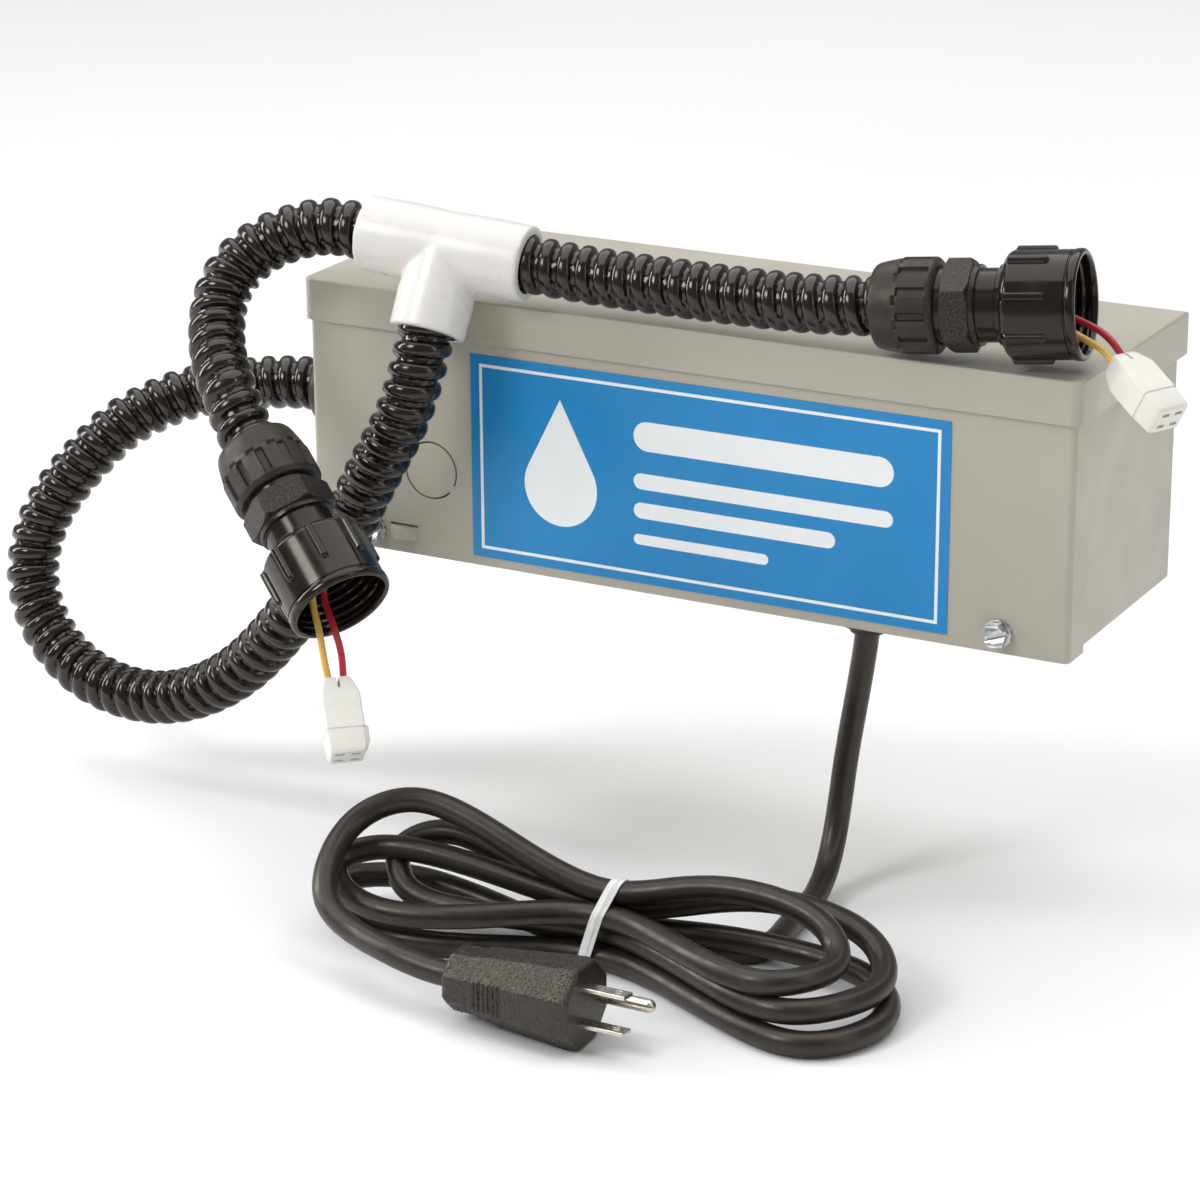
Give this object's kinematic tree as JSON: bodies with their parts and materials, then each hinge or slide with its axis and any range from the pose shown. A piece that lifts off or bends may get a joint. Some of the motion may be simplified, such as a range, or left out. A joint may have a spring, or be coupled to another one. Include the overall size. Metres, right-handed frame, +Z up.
{
  "type": "uv clarifier power unit",
  "caption": "Wall-mounted power unit of a twin-lamp UV clarifier: steel screw-cover ballast box, mains cord, and ribbed hose harness ending in two lamp caps with sockets.",
  "frame": {"origin": "centre of the four wall-mounting holes, on the enclosure's outer back face", "axes": "+X along the enclosure to the right, +Y into the wall, +Z up"},
  "size_m": [0.4824, 0.2667, 0.2483],
  "materials": {
    "painted_steel": "warm grey polyester powder coat, fine orange peel",
    "label_vinyl": "blue printed vinyl label, satin",
    "zinc_steel": "bright zinc plating",
    "galvanised_steel": "galvanised",
    "ballast_enamel": "white enamel",
    "core_steel": "varnished laminations",
    "copper_winding": "enamelled copper winding under tape",
    "wire_nut_yellow": "moulded",
    "green_steel": "green dyed zinc",
    "contact_brass": "bright brass",
    "lead_black": "PVC insulation",
    "lead_white": "PVC insulation",
    "lead_green": "PVC insulation",
    "lead_red": "PVC insulation",
    "lead_yellow": "PVC insulation",
    "black_nylon": "glass-filled nylon, semi-gloss",
    "gloss_nylon": "moulded nylon, glossy",
    "black_rubber": "smooth",
    "hose_pvc": "ribbed flexible PVC, glossy",
    "white_pvc": "white PVC, satin",
    "socket_nylon": "off-white nylon",
    "cord_rubber": "satin vinyl jacket",
    "white_tie": "paper-coated twist tie",
    "plug_vinyl": "pebbled moulded vinyl",
    "plug_brass": "nickel-plated brass"
  },
  "bodies": {
    "enclosure": {"enclosure_body": "painted_steel", "drip_shield": "painted_steel", "ballast_base": "galvanised_steel", "ballast_case": "ballast_enamel", "ballast_core": "core_steel", "ballast_coil": "copper_winding", "ballast_capacitor": "galvanised_steel", "ballast_screws": "zinc_steel", "ballast_leads": "lead_black", "wire_nuts": "wire_nut_yellow", "ground_screw": "green_steel", "ground_terminal": "contact_brass", "supply_lead_black": "lead_black", "supply_lead_white": "lead_white", "supply_lead_green": "lead_green", "lamp_lead_red": "lead_red", "lamp_lead_yellow": "lead_yellow", "cord_bushing": "black_nylon", "box_gland_body": "black_nylon", "box_gland_washer": "black_rubber", "box_gland_locknut": "black_nylon", "box_gland_seal": "black_rubber", "hose_supply": "hose_pvc", "tee": "white_pvc", "hose_left": "hose_pvc", "hose_right": "hose_pvc", "power_cord": "cord_rubber", "cord_hank": "cord_rubber", "cord_tail": "cord_rubber", "cord_tie": "white_tie", "plug_body": "plug_vinyl", "plug_blades": "plug_brass", "plug_ground_pin": "plug_brass", "left_gland_seal": "black_rubber", "left_gland_body": "black_nylon", "left_cap_gasket": "black_rubber", "left_grommet": "black_rubber", "left_lead_red": "lead_red", "left_lead_yellow": "lead_yellow", "left_socket": "socket_nylon", "left_contacts": "contact_brass", "right_gland_seal": "black_rubber", "right_gland_body": "black_nylon", "right_cap_gasket": "black_rubber", "right_grommet": "black_rubber", "right_lead_red": "lead_red", "right_lead_yellow": "lead_yellow", "right_socket": "socket_nylon", "right_contacts": "contact_brass"},
    "front_cover": {"front_cover": "painted_steel", "cover_label": "label_vinyl"},
    "screw_left_travel": {"lock_washer_left": "zinc_steel"},
    "screw_right_travel": {"lock_washer_right": "zinc_steel"},
    "screw_left": {"cover_screw_left": "zinc_steel"},
    "screw_right": {"cover_screw_right": "zinc_steel"},
    "box_gland_nut": {"box_gland_nut": "black_nylon"},
    "left_gland_nut": {"left_gland_nut": "black_nylon"},
    "right_gland_nut": {"right_gland_nut": "black_nylon"},
    "left_cap": {"left_cap": "gloss_nylon"},
    "right_cap": {"right_cap": "gloss_nylon"}
  },
  "joints": [
    {"name": "cover_slide", "type": "slide", "parent": "enclosure", "child": "front_cover", "axis": [0, 0, -1], "range_m": [0, 0.075]},
    {"name": "left_screw_travel", "type": "slide", "parent": "front_cover", "child": "screw_left_travel", "axis": [0, -1, 0], "range_m": [0, 0.0025]},
    {"name": "left_screw_turn", "type": "hinge", "parent": "screw_left_travel", "child": "screw_left", "pos_m": [-0.1263, -0.1016, -0.0434], "axis": [0, -1, 0], "range_deg": [0, 1134]},
    {"name": "right_screw_travel", "type": "slide", "parent": "front_cover", "child": "screw_right_travel", "axis": [0, -1, 0], "range_m": [0, 0.0025]},
    {"name": "right_screw_turn", "type": "hinge", "parent": "screw_right_travel", "child": "screw_right", "pos_m": [0.1263, -0.1016, -0.0434], "axis": [0, -1, 0], "range_deg": [0, 1134]},
    {"name": "box_nut_turn", "type": "hinge", "parent": "enclosure", "child": "box_gland_nut", "pos_m": [-0.1706, -0.046, -0.009], "axis": [1, 0, 0], "continuous": true},
    {"name": "left_nut_turn", "type": "hinge", "parent": "enclosure", "child": "left_gland_nut", "pos_m": [-0.12575, -0.17448, 0.00011], "axis": [0.7128, -0.3648, -0.599], "continuous": true},
    {"name": "right_nut_turn", "type": "hinge", "parent": "enclosure", "child": "right_gland_nut", "pos_m": [0.08921, -0.10079, 0.06899], "axis": [0.9844, 0.1506, 0.0906], "continuous": true},
    {"name": "left_cap_turn", "type": "hinge", "parent": "enclosure", "child": "left_cap", "pos_m": [-0.09153, -0.19199, -0.02864], "axis": [0.7128, -0.3648, -0.599], "continuous": true},
    {"name": "right_cap_turn", "type": "hinge", "parent": "enclosure", "child": "right_cap", "pos_m": [0.13647, -0.09356, 0.07334], "axis": [0.9844, 0.1506, 0.0906], "continuous": true}
  ],
  "couplings": [
    {"joint": "left_screw_turn", "follows": "left_screw_travel", "rad_per_m": 7913.3},
    {"joint": "right_screw_turn", "follows": "right_screw_travel", "rad_per_m": 7913.3}
  ]
}
